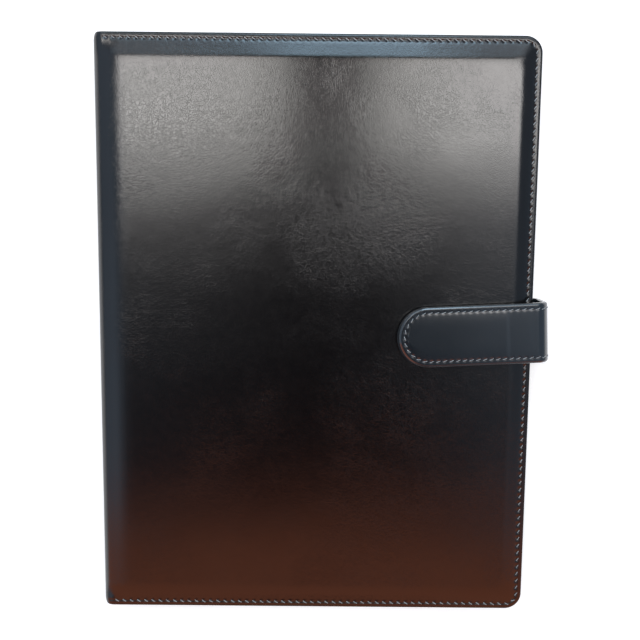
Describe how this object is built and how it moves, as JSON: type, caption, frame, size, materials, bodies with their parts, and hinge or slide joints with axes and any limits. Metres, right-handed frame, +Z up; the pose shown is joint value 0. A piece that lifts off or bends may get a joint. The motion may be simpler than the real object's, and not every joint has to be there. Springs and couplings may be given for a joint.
{
  "type": "leather notebook cover",
  "caption": "Padded black leather cover for an A4 writing pad, with a folding spine, inner sleeve and pockets, and a wrap-round strap with a magnetic snap.",
  "frame": {"origin": "on the table, under the middle of the closed cover and strap", "axes": "+X from spine to fore edge and strap, +Y to the top of the page, +Z up through the closed cover, which lies on its back"},
  "size_m": [0.2554, 0.328, 0.0302],
  "materials": {
    "cover_leather": "satin",
    "strap_leather": "satin",
    "lining": "matte",
    "padding": "matte",
    "greyboard": "matte",
    "elastic": "matte",
    "paper": "matte",
    "pad_card": "matte",
    "pad_tape": "matte",
    "snap_metal": "polished",
    "magnet": "matte",
    "thread": "satin"
  },
  "bodies": {
    "back": {"back_leather": "cover_leather", "back_foam": "padding", "back_board": "greyboard", "back_lining": "lining", "sleeve_panel": "lining", "sleeve_hem_left": "lining", "sleeve_hem_right": "lining", "sleeve_hem_bottom": "lining", "pen_loop": "elastic", "back_fold_leather": "cover_leather", "back_fold_lining": "lining", "strap_root": "strap_leather", "strap_lower_fold": "strap_leather"},
    "spine": {"spine_leather": "cover_leather", "spine_board": "greyboard", "spine_lining": "lining", "front_fold_leather": "cover_leather", "front_fold_lining": "lining"},
    "front": {"front_leather": "cover_leather", "front_foam": "padding", "front_board": "greyboard", "front_lining": "lining", "document_panel": "lining", "document_hem_left": "lining", "document_hem_right": "lining", "document_hem_bottom": "lining", "card_pocket_1": "lining", "card_pocket_2": "lining", "card_pocket_3": "lining", "snap_socket": "snap_metal", "snap_magnet": "magnet", "snap_socket_washer": "snap_metal"},
    "strap_side": {"strap_side_leather": "strap_leather", "strap_side_lining": "strap_leather", "strap_upper_fold": "strap_leather"},
    "tab": {"tab_leather": "strap_leather", "tab_core": "greyboard", "tab_lining": "strap_leather", "snap_stud": "snap_metal", "snap_stud_washer": "snap_metal"},
    "pad": {"pad_backing": "pad_card", "pad_paper": "paper", "pad_binding": "pad_tape"}
  },
  "joints": [
    {"name": "spine_fold", "type": "hinge", "parent": "back", "child": "spine", "pos_m": [-0.1264, 0, 0.00329], "axis": [0, -1, 0], "range_deg": [0, 90], "deforming": ["back_fold_leather", "back_fold_lining"]},
    {"name": "front_fold", "type": "hinge", "parent": "spine", "child": "front", "pos_m": [-0.1264, 0, 0.02071], "axis": [0, -1, 0], "range_deg": [0, 90], "deforming": ["front_fold_leather", "front_fold_lining"]},
    {"name": "strap_fold", "type": "hinge", "parent": "back", "child": "strap_side", "pos_m": [0.1242, 0.00191, 0.0062], "axis": [-0.0523, 0.9986, 0], "range_deg": [0, 90], "deforming": ["strap_lower_fold"]},
    {"name": "tab_fold", "type": "hinge", "parent": "strap_side", "child": "tab", "pos_m": [0.1242, 0.00191, 0.0276], "axis": [-0.0523, 0.9986, 0], "range_deg": [0, 90], "deforming": ["strap_upper_fold"]},
    {"name": "pad_slide", "type": "slide", "parent": "back", "child": "pad", "axis": [0, 1, 0], "range_m": [0, 0.3]}
  ]
}
